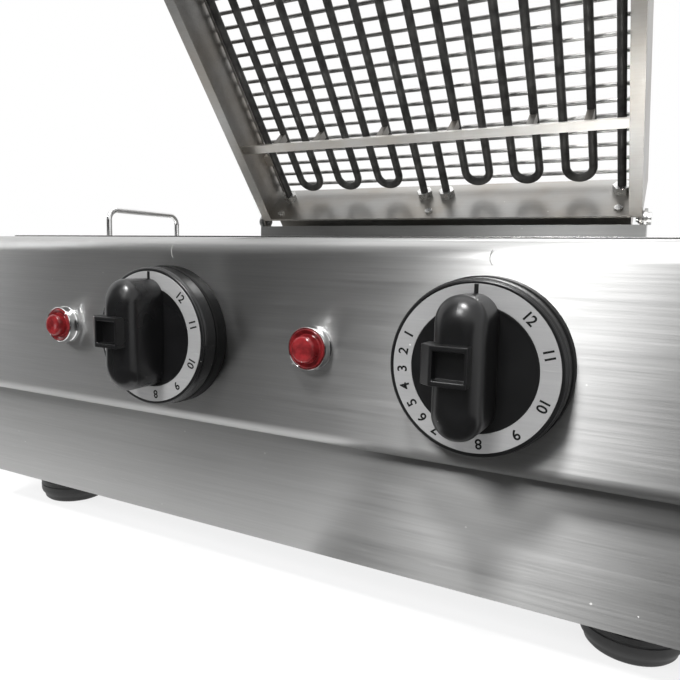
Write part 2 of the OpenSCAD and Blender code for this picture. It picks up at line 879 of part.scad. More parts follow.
module shaft(i) {
    color("gainsboro") at_knob(i) along_y(shaft_d, dial_y - shaft_in + skirt_t, sheet + 10);
}

// Fixed ring behind the knob, with a floor that hides the regulator's screws
module collar(i) {
    r = skirt_d / 2 + 0.6;
    color([0.1, 0.1, 0.1]) at_knob(i) difference() {
        turned() {
            translate([hub_r + 1, 0]) square([r - 1 - hub_r, 1.5]);
            translate([r - 5, 0]) square([5, collar_t - 1]);
            translate([r - 5, 0]) square([4, collar_t]);
            translate([r - 1, collar_t - 1]) circle(1);
        }
        for (s = [-1, 1]) translate([s * reg_screw_x, 0, 0]) along_y(3 + 2 * hole_fit, -2, 1);
    }
}

module regulator(i) {
    color([0.75, 0.73, 0.68]) at_knob(i) difference() {
        union() {
            span_box([-reg_w / 2, sheet, -reg_h / 2], [reg_w / 2, sheet + reg_d, reg_h / 2]);
            along_y(2 * bush_r, -4, sheet);
            for (x = [-10, 0, 10], z = [-8, 8]) translate([x - 3, sheet + reg_d, z - 0.4])
                cube([6, 0.9, 0.8]);
        }
        along_y(shaft_d + 2 * run_fit, -5, sheet + 10 + gap);
        for (s = [-1, 1]) translate([s * reg_screw_x, 0, 0]) along_y(3, 0, sheet + 6);
    }
}

module regulator_screws() {
    color("gainsboro") for (i = [0, 1], s = [-1, 1]) at_knob(i) translate([s * reg_screw_x, 0, 0]) {
        along_y(3, -1.5, sheet + 6);
        along_y(6, -3.2, -1.5);
    }
}

module at_lamp(i) {
    from_panel() translate([lamp_x[i], 0, -control_z]) children();
}

module lamp_bezel(i) {
    color("white") at_lamp(i) turned() difference() {
        union() {
            square([lamp_r, 1.5]);
            square([lamp_r - 0.8, lamp_out - 0.8]);
            square([lamp_r - 1.6, lamp_out]);
            translate([lamp_r - 1.6, lamp_out - 0.8]) circle(0.8);
        }
        translate([-1, -1]) square([1 + lamp_neck_r + run_fit, 4]);
        translate([-1, 1.5]) square([1 + lens_r + run_fit, lamp_out]);
        translate([-3, -1]) square([3, lamp_out + 3]);
    }
}

module lamp_lens(i) {
    color("red") at_lamp(i) {
        turned() {
            translate([0, 1.5]) square([lens_r, lamp_out - 1]);
            square([button_r, lamp_out + button_out - 1]);
            square([button_r - 1, lamp_out + button_out]);
            translate([button_r - 1, lamp_out + button_out - 1]) circle(1);
        }
    }
}

module lamp_body(i) {
    color("dimgray") at_lamp(i) {
        along_y(2 * lamp_neck_r, 0, 22);
        for (x = [-3, 3]) translate([x - 0.4, 22, -2.4]) cube([0.8, 5, 4.8]);
    }
}

module lamp_nuts() {
    color("gainsboro") for (i = [0, 1]) at_lamp(i) difference() {
        translate([0, sheet, 0]) rotate([-90, 0, 0]) cylinder(d = lamp_nut_d, h = 4, $fn = 6);
        along_y(2 * lamp_neck_r, 0, 8);
    }
}

module knob_left() {
    knob(0);
}

module knob_right() {
    knob(1);
}

module dial_left() {
    dial(0);
}

module dial_right() {
    dial(1);
}

module shaft_left() {
    shaft(0);
}

module shaft_right() {
    shaft(1);
}

module collar_left() {
    collar(0);
}

module collar_right() {
    collar(1);
}

module regulator_left() {
    regulator(0);
}

module regulator_right() {
    regulator(1);
}

module lamp_bezel_left() {
    lamp_bezel(0);
}

module lamp_bezel_right() {
    lamp_bezel(1);
}

module lamp_lens_left() {
    lamp_lens(0);
}

module lamp_lens_right() {
    lamp_lens(1);
}

module lamp_body_left() {
    lamp_body(0);
}

module lamp_body_right() {
    lamp_body(1);
}

hood();
lower_casing();
base_plate();
rear_panel();
feet();
foot_screws();
hood_screws();
rear_screws();
heat_shield();
terminal_block();
cable_gland();
gland_nut();
pan();
pan_handle_left();
pan_handle_right();
hinge_bracket();
bracket_screws();
hinge_pins();
friction_washers();
retaining_rings();
cooking_frame();
support_bars();
element_clips();
element_left();
element_right();
element_glands();
gland_lock_nuts();
ceramic_beads();
terminal_studs();
terminal_cover();
cover_screws();
grid();
grid_clips();
frame_rests();
handle_posts();
handle_grip();
knob_left();
knob_right();
dial_left();
dial_right();
shaft_left();
shaft_right();
collar_left();
collar_right();
regulator_left();
regulator_right();
regulator_screws();
lamp_bezel_left();
lamp_bezel_right();
lamp_lens_left();
lamp_lens_right();
lamp_body_left();
lamp_body_right();
lamp_nuts();
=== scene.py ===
"""Shown pieces, finishes and studio for a two-zone counter cooker with a lift-up element frame.

Sizes are in millimetres from the front face and the deck, as the solids are drawn, and are turned
into the row frame's metres where a mesh is made.
"""

import json
import logging
import math
from collections.abc import Callable, Iterator, Sequence
from contextlib import contextmanager
from dataclasses import dataclass
from enum import Enum

import bmesh
import bpy
from mathutils import Matrix, Vector


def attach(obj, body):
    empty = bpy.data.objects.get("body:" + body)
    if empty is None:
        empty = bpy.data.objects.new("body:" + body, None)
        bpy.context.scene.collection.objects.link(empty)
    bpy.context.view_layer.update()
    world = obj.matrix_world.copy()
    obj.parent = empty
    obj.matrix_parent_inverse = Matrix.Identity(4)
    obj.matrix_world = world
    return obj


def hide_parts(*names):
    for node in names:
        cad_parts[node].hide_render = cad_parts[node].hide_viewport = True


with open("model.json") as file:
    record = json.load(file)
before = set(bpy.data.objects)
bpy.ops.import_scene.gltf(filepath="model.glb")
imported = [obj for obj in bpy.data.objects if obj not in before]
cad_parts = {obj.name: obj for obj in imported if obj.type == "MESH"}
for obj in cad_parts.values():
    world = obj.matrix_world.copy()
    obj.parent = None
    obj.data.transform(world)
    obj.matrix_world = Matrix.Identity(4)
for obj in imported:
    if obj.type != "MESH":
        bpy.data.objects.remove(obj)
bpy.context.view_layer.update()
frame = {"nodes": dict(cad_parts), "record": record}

LOG = logging.getLogger("cooker")
MM = 0.001
BODY_DEPTH = 252.9
DECK_HEIGHT = 177.0
KNOB_X = (-44.4, 119.9)
LAMP_X = (-123.9, 40.4)
CONTROL_Z = -50.0
SIDES = ("left", "right")
SHEET_EDGE = 0.12
SCREW_EDGE = 0.1
ROUND = 128
TURNED, DOMED, ROLLED = 40.0, 60.0, 50.0
FACING = 0.9
FLOATS = "NodeSocketFloat"
BROAD_LINES, FINE_SHARE, SPECK_SIZE = 0.17, 0.6, 0.085
SCRATCH_STRETCH, SCRATCH_SCALE, FILM_SCALE = ((1.0, 1.0, 22.0), 4.0), 95.0, 9.0
LINE_RANGE, SCRATCH_RANGE, FILM_RANGE, CLOUD_RANGE = (0.3, 0.7), (0.72, 0.78), (0.42, 0.68), (0.35, 0.65)

Point = tuple[float, float, float]
Pair = tuple[float, float]
Profile = Sequence[Pair]
Piece = bpy.types.Object
Node = bpy.types.Node
Socket = bpy.types.NodeSocket
Inlets = bpy.types.NodeInputs
Outlets = bpy.types.NodeOutputs
Group = bpy.types.NodeTree


class Grain(Enum):
    """Which way a sheet was brushed."""

    ACROSS = (0.02, 1.0, 1.0)
    NONE = (1.0, 1.0, 1.0)


class Axis(Enum):
    """The axis that a turned piece is spun about."""

    FRONT = (0.0, 1.0, 0.0)
    UP = (0.0, 0.0, 1.0)


class Body(Enum):
    """The moving bodies that pieces ride on."""

    BASE = "base"
    PAN = "liquid_pan"
    FRAME = "tilting_frame"
    KNOB_LEFT = "turning_knob_left"
    KNOB_RIGHT = "turning_knob_right"


OWNERS = {
    node: Body(name) for name, nodes in frame["record"]["behaviour"]["bodies"].items() for node in nodes
}


def row(x: float, y: float, z: float) -> Vector:
    """A drawn point as a point of the row frame, in metres.

    Args:
        x: millimetres to the right of the middle.
        y: millimetres behind the front face.
        z: millimetres above the deck.

    Returns:
        The point in the row frame.
    """
    return Vector((x, y - BODY_DEPTH / 2, z + DECK_HEIGHT)) * MM


class Tree:
    """A node tree that is written one node at a time."""

    def __init__(self, tree: Group) -> None:
        """Starts from an empty tree."""
        self.tree = tree
        self.tree.nodes.clear()

    @classmethod
    def of(cls, owner: bpy.types.Material | bpy.types.World) -> "Tree":
        """The emptied tree of a material or a world."""
        owner.use_nodes = True
        return cls(owner.node_tree)

    def add(self, kind: str, **settings: object) -> Node:
        """A new node of a type, with its attributes set."""
        node = self.tree.nodes.new(kind)
        for name, value in settings.items():
            setattr(node, name, value)
        return node

    def link(self, source: Socket, target: Socket) -> None:
        """Joins two sockets."""
        self.tree.links.new(source, target)

    def feed(self, target: Socket, source: object) -> None:
        """Sets a socket from a number, or joins it to another socket."""
        if isinstance(source, Socket):
            self.link(source, target)
        else:
            target.default_value = source

    def set(self, node: Node, **levels: object) -> None:
        """Sets or joins inputs of a node, named with underscores for spaces."""
        for name, level in levels.items():
            self.feed(node.inputs[name.replace("_", " ")], level)

    def plain(self, kind: str, tone: Point) -> Node:
        """A plain shader of one colour."""
        node = self.add(f"ShaderNode{kind}")
        self.set(node, Color=(*tone, 1.0))
        return node

    def blended(self, share: Socket, first: Node, second: Node, end: Node) -> None:
        """Mixes two shaders by a share and puts the result out."""
        choice = self.add("ShaderNodeMixShader")
        for index, source in enumerate((share, first.outputs[0], second.outputs[0])):
            self.feed(choice.inputs[index], source)
        self.link(choice.outputs[0], end.inputs["Surface"])

    def maths(self, operation: str, first: object, second: object = 0.0) -> Socket:
        """The result of a sum on one or two values."""
        node = self.add("ShaderNodeMath", operation=operation)
        self.feed(node.inputs[0], first)
        self.feed(node.inputs[1], second)
        return node.outputs[0]

    def spread(
        self, value: object, low: float, high: float, to_low: float = 0.0, to_high: float = 1.0
    ) -> Socket:
        """A value taken from one range to another and held there."""
        node = self.add("ShaderNodeMapRange")
        for index, item in enumerate((value, low, high, to_low, to_high)):
            self.feed(node.inputs[index], item)
        return node.outputs[0]

    def noise(self, vector: Socket, scale: object, detail: float) -> Socket:
        """Plain noise, as a value about one half."""
        node = self.add("ShaderNodeTexNoise")
        self.set(node, Vector=vector, Scale=scale, Detail=detail)
        return node.outputs["Fac"]

    def stretched(self, vector: Socket, scale: Point, turn: float = 0.0) -> Socket:
        """A vector turned about the front-to-back axis and scaled along its axes."""
        node = self.add("ShaderNodeMapping", vector_type="POINT")
        self.set(node, Vector=vector, Scale=scale, Rotation=(0.0, math.radians(turn), 0.0))
        return node.outputs["Vector"]

    def mixed(self, share: object, first: object, second: object) -> Socket:
        """Two colours mixed by a share."""
        node = self.add("ShaderNodeMix", data_type="RGBA")
        for index, item in ((0, share), (6, first), (7, second)):
            self.feed(node.inputs[index], item)
        return node.outputs[2]


@dataclass(frozen=True)
class Effect:
    """A shader node group that several finishes share."""

    name: str
    takes: dict[str, float]
    gives: tuple[str, ...]
    draw: Callable[[Tree, Outlets, Inlets], None]

    def group(self) -> Group:
        """The node group, made the first time that it is asked for."""
        found = bpy.data.node_groups.get(self.name)
        if found is None:
            found = bpy.data.node_groups.new(self.name, "ShaderNodeTree")
            sockets = found.interface
            sockets.new_socket("Vector", in_out="INPUT", socket_type="NodeSocketVector")
            for name, default in self.takes.items():
                sockets.new_socket(name, in_out="INPUT", socket_type=FLOATS).default_value = default
            for name in self.gives:
                sockets.new_socket(name, in_out="OUTPUT", socket_type=FLOATS)
            nodes = Tree(found)
            start, end = nodes.add("NodeGroupInput"), nodes.add("NodeGroupOutput")
            self.draw(nodes, start.outputs, end.inputs)
        return found

    def on(self, nodes: Tree, vector: Socket, **levels: float) -> Outlets:
        """The effect's outputs on a vector, with some of its inputs set."""
        node = nodes.add("ShaderNodeGroup", node_tree=self.group())
        nodes.set(node, Vector=vector, **levels)
        return node.outputs


def draw_lines(nodes: Tree, takes: Outlets, gives: Inlets) -> None:
    """Fine lines on broad ones, from a vector already stretched along them."""
    coarser = nodes.maths("MULTIPLY", takes["Lines"], BROAD_LINES)
    fine = nodes.noise(takes["Vector"], takes["Lines"], 3.0)
    broad = nodes.noise(takes["Vector"], coarser, 2.0)
    shares = ((fine, FINE_SHARE), (broad, 1.0 - FINE_SHARE))
    line = nodes.maths("ADD", *(nodes.maths("MULTIPLY", part, share) for part, share in shares))
    nodes.link(nodes.spread(line, *LINE_RANGE), gives["Line"])
    nodes.link(fine, gives["Height"])


def draw_use(nodes: Tree, takes: Outlets, gives: Inlets) -> None:
    """What use leaves on a surface: dust specks in cells, short scratches and a film from hands."""
    cells = nodes.add("ShaderNodeTexVoronoi")
    nodes.set(cells, Vector=takes["Vector"], Scale=takes["Cells"])
    near = nodes.maths("LESS_THAN", cells.outputs["Distance"], SPECK_SIZE)
    pick = nodes.add("ShaderNodeSeparateColor")
    nodes.link(cells.outputs["Color"], pick.inputs["Color"])
    kept = nodes.maths("LESS_THAN", pick.outputs[0], takes["Share"])
    nodes.link(nodes.maths("MULTIPLY", near, kept), gives["Speck"])
    cut = nodes.noise(nodes.stretched(takes["Vector"], *SCRATCH_STRETCH), SCRATCH_SCALE, 1.0)
    nodes.link(nodes.spread(cut, *SCRATCH_RANGE), gives["Scratch"])
    film = nodes.noise(takes["Vector"], FILM_SCALE, 4.0)
    nodes.link(nodes.spread(film, *FILM_RANGE), gives["Film"])


def draw_clouds(nodes: Tree, takes: Outlets, gives: Inlets) -> None:
    """Uneven tone of a scaled, moulded or cast surface, with its fine height."""
    coarse = nodes.noise(takes["Vector"], takes["Clouds"], 4.0)
    nodes.link(nodes.spread(coarse, *CLOUD_RANGE), gives["Cloud"])
    nodes.link(nodes.noise(takes["Vector"], takes["Pebbles"], 2.0), gives["Height"])


BRUSHING = Effect("brushing", {"Lines": 900.0}, ("Line", "Height"), draw_lines)
HANDLING = Effect("handling", {"Cells": 170.0, "Share": 0.08}, ("Speck", "Scratch", "Film"), draw_use)
MOTTLING = Effect("mottling", {"Clouds": 60.0, "Pebbles": 1800.0}, ("Cloud", "Height"), draw_clouds)


@dataclass(frozen=True)
class Finish:
    """What every finish has, and how its material is started and kept."""

    name: str
    slot: str
    tone: Point
    rough: float

    def colour(self, share: float = 1.0) -> tuple[float, float, float, float]:
        """The tone, lighter or darker by a share."""
        return (*(min(1.0, part * share) for part in self.tone), 1.0)

    def either_side(self, part: float) -> tuple[object, object]:
        """The tone made darker and lighter by a part of itself."""
        return self.colour(1.0 - part), self.colour(1.0 + part)

    def material(self) -> bpy.types.Material:
        """The finish's material, made once, under a name that no solid's material has."""
        label = f"{self.name}_finish"
        found = bpy.data.materials.get(label)
        if found is not None:
            return found
        made = bpy.data.materials.new(label)
        made.diffuse_color = self.colour()
        nodes = Tree.of(made)
        shader = nodes.add("ShaderNodeBsdfPrincipled")
        end = nodes.add("ShaderNodeOutputMaterial")
        nodes.link(shader.outputs[0], end.inputs["Surface"])
        place = nodes.add("ShaderNodeTexCoord").outputs["Object"]
        self.paint(nodes, shader, place)
        return made

    def paint(self, nodes: Tree, shader: Node, place: Socket) -> None:
        """Sets the shader's sockets; each finish has its own."""
        raise NotImplementedError

    @staticmethod
    def relief(nodes: Tree, shader: Node, height: Socket, depth: float) -> None:
        """Joins a height, of which 1 stands for a depth in metres, to the shader's normal."""
        bump = nodes.add("ShaderNodeBump")
        nodes.set(bump, Distance=depth, Height=height)
        nodes.link(bump.outputs["Normal"], shader.inputs["Normal"])


@dataclass(frozen=True)
class Sheet(Finish):
    """Brushed sheet metal with the marks of use."""

    grain: Grain = Grain.ACROSS
    lines: float = 900.0
    depth: float = 4e-6
    contrast: float = 0.12
    streak: float = 0.5
    share: float = 0.06
    heat: float = 0.0
    metal: float = 1.0
    stain_clouds: float = 28.0
    straw: Point = (0.78, 0.7, 0.6)
    dust_tone: Point = (0.86, 0.86, 0.84)
    speck: float = 0.55
    scratch: float = 0.3
    bare: float = 1.5
    film: float = 0.04
    dull: float = 0.3
    wander: Pair = (-0.02, 0.03)
    tangent: Point = (0.12, 0.2, 1.0)

    def paint(self, nodes: Tree, shader: Node, place: Socket) -> None:
        """Brushes the metal, then dusts it."""
        brushed = BRUSHING.on(nodes, nodes.stretched(place, self.grain.value), Lines=self.lines)
        used = HANDLING.on(nodes, place, Share=self.share)
        base = nodes.mixed(brushed["Line"], *self.either_side(self.contrast))
        if self.heat:
            clouds = MOTTLING.on(nodes, place, Clouds=self.stain_clouds)
            stained = nodes.mixed(1.0, base, (*self.straw, 1.0))
            stained.node.blend_type = "MULTIPLY"
            base = nodes.mixed(nodes.maths("MULTIPLY", clouds["Cloud"], self.heat), base, stained)
        base = nodes.mixed(nodes.maths("MULTIPLY", used["Speck"], self.speck), base, (*self.dust_tone, 1.0))
        cut = nodes.maths("MULTIPLY", used["Scratch"], self.scratch)
        base = nodes.mixed(cut, base, self.colour(self.bare))
        smooth, coarse = (self.rough + part for part in self.wander)
        rough = nodes.spread(brushed["Line"], 0.0, 1.0, smooth, coarse)
        film = nodes.maths("MULTIPLY", used["Film"], self.film)
        dust = nodes.maths("MULTIPLY", used["Speck"], self.dull)
        rough = nodes.maths("ADD", nodes.maths("ADD", rough, film), dust)
        nodes.set(shader, Base_Color=base, Metallic=self.metal, Anisotropic=self.streak, Roughness=rough)
        if self.streak:
            across = nodes.add("ShaderNodeCombineXYZ")
            nodes.set(across, **dict(zip("XYZ", self.tangent)))
            nodes.link(across.outputs[0], shader.inputs["Tangent"])
        self.relief(nodes, shader, brushed["Height"], self.depth)


@dataclass(frozen=True)
class Stock(Finish):
    """Drawn, plated or scaled metal: rods, wires, sheaths, screws."""

    metal: float = 1.0
    clouds: float = 60.0
    uneven: float = 0.15
    pebbles: float = 1500.0
    depth: float = 4e-6
    least_rough: float = 0.02
    rough_share: float = 0.3

    def paint(self, nodes: Tree, shader: Node, place: Socket) -> None:
        """Clouds the tone and the roughness."""
        mottled = MOTTLING.on(nodes, place, Clouds=self.clouds, Pebbles=self.pebbles)
        cloud = mottled["Cloud"]
        tone = nodes.mixed(cloud, *self.either_side(self.uneven))
        wander = self.rough_share * self.uneven + self.least_rough
        smooth = max(self.least_rough, self.rough - wander)
        rough = nodes.spread(cloud, 0.0, 1.0, self.rough + wander, smooth)
        nodes.set(shader, Base_Color=tone, Metallic=self.metal, Roughness=rough)
        self.relief(nodes, shader, mottled["Height"], self.depth)


@dataclass(frozen=True)
class Moulded(Finish):
    """Plastic, resin, rubber or ceramic, with a fine skin and a little dust."""

    pebbles: float = 2200.0
    depth: float = 1.2e-5
    dust: float = 0.05
    dust_tone: Point = (0.35, 0.35, 0.35)
    shine: float = 0.5
    clouds: float = 90.0
    cells: float = 420.0
    speck: float = 0.5
    shades: Pair = (0.82, 1.2)
    wander: Pair = (-0.04, 0.07)

    def paint(self, nodes: Tree, shader: Node, place: Socket) -> None:
        """Dusts the moulding and gives it its skin."""
        skin = MOTTLING.on(nodes, place, Pebbles=self.pebbles, Clouds=self.clouds)
        used = HANDLING.on(nodes, place, Cells=self.cells, Share=self.dust)
        tone = nodes.mixed(skin["Cloud"], *map(self.colour, self.shades))
        speck = nodes.maths("MULTIPLY", used["Speck"], self.speck)
        base = nodes.mixed(speck, tone, (*self.dust_tone, 1.0))
        polished, worn = (self.rough + part for part in self.wander)
        rough = nodes.maths("ADD", nodes.spread(used["Film"], 0.0, 1.0, polished, worn), speck)
        nodes.set(shader, Base_Color=base, Roughness=rough, Specular_IOR_Level=self.shine)
        self.relief(nodes, shader, skin["Height"], self.depth)


@dataclass(frozen=True)
class Lens(Finish):
    """Tinted plastic over a diffuser."""

    clouds: float = 260.0
    pebbles: float = 900.0
    depth: float = 1.5e-5
    shades: Pair = (0.6, 1.3)
    index: float = 1.49

    def paint(self, nodes: Tree, shader: Node, place: Socket) -> None:
        """Clouds the tint as the moulded diffuser under it does."""
        skin = MOTTLING.on(nodes, place, Clouds=self.clouds, Pebbles=self.pebbles)
        tone = nodes.mixed(skin["Cloud"], *map(self.colour, self.shades))
        nodes.set(shader, Base_Color=tone, Roughness=self.rough, IOR=self.index)
        self.relief(nodes, shader, skin["Height"], self.depth)


BODY_STEEL = Sheet(
    "body_steel", "brushed_steel", (0.55, 0.55, 0.545), 0.34,
    lines=1500.0, contrast=0.07, streak=0.93, depth=1.5e-6,
)
LOWER_STEEL = Sheet(
    "lower_steel", "casing_steel", (0.5, 0.5, 0.495), 0.36,
    lines=1200.0, contrast=0.07, streak=0.9, depth=2e-6,
)
FRAME_STEEL = Sheet(
    "frame_steel", "frame_steel", (0.36, 0.356, 0.347), 0.36, heat=0.5, contrast=0.06, streak=0.3
)
# Darker heat-tinted steel: soot on the element clips, and painted shade on the inner faces of the frame's
# side walls.
SOOT_AND_SHADE_STEEL = Sheet("sooted_and_shaded_steel", "bar_steel", (0.3, 0.294, 0.284), 0.45, heat=0.6, contrast=0.12)
BAR_STEEL = Sheet("bar_steel", "bar_steel", (0.92, 0.91, 0.89), 0.44, heat=0.35, contrast=0.05)
PAN_STEEL = Sheet("pan_steel", "pan_steel", (0.46, 0.46, 0.455), 0.22, heat=0.12, contrast=0.04, streak=0.2)
# The body's brushed steel made darker for the hinge bracket: painted shade on the bracket behind the frame.
SHADED_HINGE_STEEL = Sheet(
    "shaded_hinge_steel", "brushed_steel", (0.34, 0.34, 0.335), 0.3, contrast=0.06, streak=0.6, depth=1.5e-6
)
ZINC_STEEL = Sheet(
    "zinc_steel", "zinc_steel", (0.55, 0.56, 0.58), 0.42, grain=Grain.NONE, lines=60.0, streak=0.0
)
SCREW_STEEL = Stock("screw_steel", "screw_steel", (0.62, 0.62, 0.61), 0.28, clouds=300.0)
WASHER_STEEL = Stock("washer_steel", "washer_steel", (0.2, 0.2, 0.2), 0.4, clouds=300.0)
SHEATH = Stock(
    "sheath", "sheath_steel", (0.035, 0.034, 0.032), 0.55, metal=0.2, clouds=120.0, uneven=0.45, depth=1.2e-5
)
WIRE = Stock("wire", "wire_steel", (0.5, 0.495, 0.485), 0.42, clouds=45.0, uneven=0.3)
CHROME_ROD = Stock("chrome_rod", "chrome_rod", (0.86, 0.86, 0.86), 0.2, clouds=40.0, uneven=0.06, depth=1e-6)
LAMP_CHROME = Stock(
    "lamp_chrome", "lamp_chrome", (0.82, 0.82, 0.82), 0.08, clouds=120.0, uneven=0.05, depth=8e-7
)
KNOB_BLACK = Moulded("knob_black", "knob_plastic", (0.005, 0.005, 0.0053), 0.3, depth=5e-6, shine=0.5)
COLLAR_BLACK = Moulded("collar_black", "collar_plastic", (0.005, 0.005, 0.005), 0.42, depth=5e-6, shine=0.1)
DIAL_SILVER = Sheet(
    "dial_silver", "dial_aluminium", (0.32, 0.32, 0.32), 0.46,
    lines=1400.0, contrast=0.05, streak=0.0, metal=0.35,
)
INK = Moulded("dial_ink", "knob_plastic", (0.008, 0.008, 0.008), 0.5, depth=1e-6, dust=0.0, shine=0.1)
PRINT_PALE = Moulded("pale_print", "dial_aluminium", (0.34, 0.34, 0.33), 0.5, depth=1e-6, dust=0.0)
LAMP_RED = Lens("lamp_red", "lamp_red", (0.15, 0.012, 0.014), 0.14)
RESIN = Moulded("regulator_resin", "regulator_resin", (0.55, 0.5, 0.42), 0.5, dust_tone=(0.2, 0.2, 0.2))
GLAND_BLACK = Moulded("gland_black", "gland_plastic", (0.05, 0.05, 0.05), 0.45)
CERAMIC = Moulded(
    "ceramic", "ceramic_white", (0.8, 0.78, 0.72), 0.6, pebbles=900.0, dust_tone=(0.4, 0.36, 0.3)
)
RUBBER = Moulded(
    "rubber", "rubber_black", (0.014, 0.014, 0.014), 0.55, pebbles=1300.0, depth=2e-5, dust=0.12
)


class Bench:
    """Modelling moves that every sub-assembly uses, each an operator on the piece in hand."""

    turned_gap = 1e-6
    solid_gap = 2e-6
    print_gap = 1e-7
    flat_angle = 0.2

    @staticmethod
    def clear() -> None:
        """Lets everything go."""
        bpy.ops.object.select_all(action="DESELECT")

    @staticmethod
    def take(piece: Piece) -> None:
        """Picks one piece up."""
        Bench.clear()
        piece.select_set(True)
        bpy.context.view_layer.objects.active = piece

    @staticmethod
    def placed(name: str, data: bpy.types.ID) -> Piece:
        """A new object of some data, in the scene."""
        made = bpy.data.objects.new(name, data)
        bpy.context.scene.collection.objects.link(made)
        return made

    @staticmethod
    def named(piece: Piece, name: str) -> Piece:
        """The piece, once it and its mesh have a name."""
        piece.name = piece.data.name = name
        return piece

    @staticmethod
    def start(name: str) -> Piece:
        """Names the primitive just added and sets its place in its mesh."""
        bpy.ops.object.transform_apply()
        return Bench.named(bpy.context.object, name)

    @staticmethod
    @contextmanager
    def editing(piece: Piece, kind: str = "FACE") -> Iterator[None]:
        """Opens a piece in edit mode, for its VERT, EDGE or FACE, with nothing selected."""
        Bench.take(piece)
        bpy.ops.object.mode_set(mode="EDIT")
        bpy.ops.mesh.select_mode(type=kind)
        bpy.ops.mesh.select_all(action="DESELECT")
        yield
        bpy.ops.object.mode_set(mode="OBJECT")

    @staticmethod
    def pick_all() -> None:
        """Selects everything in the piece."""
        bpy.ops.mesh.select_all(action="SELECT")

    @staticmethod
    def pick_front(piece: Piece) -> None:
        """Selects the faces that look forward."""
        shape = bmesh.from_edit_mesh(piece.data)
        for face in shape.faces:
            face.select_set(face.normal.y < -FACING)
        bmesh.update_edit_mesh(piece.data)

    @staticmethod
    def pick_deep(piece: Piece) -> None:
        """Selects the edges that run from front to back."""
        shape = bmesh.from_edit_mesh(piece.data)
        for edge in shape.edges:
            first, second = (corner.co for corner in edge.verts)
            edge.select_set(abs((second - first).normalized().y) > FACING)
        bmesh.update_edit_mesh(piece.data)

    @staticmethod
    def merge(distance: float) -> None:
        """Makes one corner of those that lie within a distance in metres."""
        Bench.pick_all()
        bpy.ops.mesh.remove_doubles(threshold=distance)

    @staticmethod
    def bevel(width: float, segments: int) -> None:
        """Rounds the picked edges to a width in millimetres."""
        bpy.ops.mesh.bevel(offset=width * MM, segments=segments, affect="EDGES", clamp_overlap=False)

    @staticmethod
    def pull(shift: Vector) -> None:
        """Extrudes what is picked by a shift in metres."""
        bpy.ops.mesh.extrude_region_move(TRANSFORM_OT_translate={"value": shift})

    @staticmethod
    def block(name: str, low: Vector, high: Vector) -> Piece:
        """A block between two corners of the row frame, to be shaped further."""
        Bench.clear()
        bpy.ops.mesh.primitive_cube_add(size=1.0, location=(low + high) / 2, scale=high - low)
        return Bench.start(name)

    @staticmethod
    def lathe(
        name: str,
        profile: Profile,
        centre: Vector,
        axis: Axis,
        steps: int = 96,
        turn: float = 360.0,
        start: float = 0.0,
    ) -> Piece:
        """A piece turned from a profile.

        Args:
            name: the piece's name.
            profile: radius and place along the axis of each corner, in millimetres.
            centre: where the axis starts, in the row frame.
            axis: the axis of the turning.
            steps: how many flats the turning has.
            turn: how far it goes round, in degrees.
            start: where it starts, in degrees from the right.

        Returns:
            The piece, closed, with its faces outwards.
        """
        along = Vector(axis.value)
        side = Matrix.Rotation(math.radians(start), 3, along) @ Vector((1.0, 0.0, 0.0))
        corners = [centre + (side * r + along * a) * MM for r, a in profile]
        Bench.clear()
        bpy.ops.mesh.primitive_plane_add(size=MM, location=corners[0])
        piece = Bench.start(name)
        with Bench.editing(piece, "VERT"):
            Bench.pick_all()
            bpy.ops.mesh.merge(type="CENTER")
            for first, second in zip(corners, corners[1:]):
                Bench.pull(second - first)
            Bench.pick_all()
            bpy.ops.mesh.spin(steps=steps, angle=math.radians(turn), center=centre, axis=along)
            Bench.merge(Bench.turned_gap)
            if turn != 360.0:
                bpy.ops.mesh.select_all(action="DESELECT")
                bpy.ops.mesh.select_non_manifold()
                bpy.ops.mesh.edge_face_add()
                Bench.pick_all()
            bpy.ops.mesh.normals_make_consistent(inside=False)
        return piece

    @staticmethod
    def modify(piece: Piece, kind: str, **settings: object) -> None:
        """Puts a modifier on a piece and applies it."""
        Bench.take(piece)
        modifier = piece.modifiers.new(kind.lower(), kind)
        for name, value in settings.items():
            setattr(modifier, name, value)
        bpy.ops.object.modifier_apply(modifier=modifier.name)

    @staticmethod
    def smooth(piece: Piece, angle: float = 30.0) -> None:
        """Shades curved surfaces smoothly and keeps flat ones flat."""
        Bench.take(piece)
        bpy.ops.object.shade_smooth_by_angle(angle=math.radians(angle))
        Bench.modify(piece, "WEIGHTED_NORMAL", keep_sharp=True)

    @staticmethod
    def break_edges(piece: Piece, width: float, angle: float = 50.0) -> None:
        """Rounds every sharp edge a little, as tumbling or a file leaves it."""
        limit = math.radians(angle)
        Bench.modify(piece, "BEVEL", width=width * MM, segments=2, limit_method="ANGLE", angle_limit=limit)

    @staticmethod
    def copied(piece: Piece, name: str, shift: Vector) -> Piece:
        """A copy of a piece with a mesh of its own, moved in its mesh."""
        Bench.take(piece)
        bpy.ops.object.duplicate(linked=False)
        bpy.context.object.location = shift
        return Bench.start(name)

    @staticmethod
    def joined(pieces: Sequence[Piece], name: str) -> Piece:
        """Several meshes made one piece."""
        Bench.clear()
        for piece in pieces:
            piece.select_set(True)
        bpy.context.view_layer.objects.active = pieces[0]
        bpy.ops.object.join()
        return Bench.named(pieces[0], name)

    @staticmethod
    def finish(piece: Piece, finish: Finish, body: Body, *nodes: str) -> None:
        """Paints a piece and hands it to its body.

        Args:
            piece: the finished mesh.
            finish: its finish, which has the record's material slot.
            body: what it moves with.
            nodes: the solids that it stands for.
        """
        piece.data.materials.clear()
        piece.data.materials.append(finish.material())
        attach(piece, body.value)
        if nodes:
            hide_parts(*nodes)
        LOG.info("%s: %d faces, %s", piece.name, len(piece.data.polygons), finish.name)


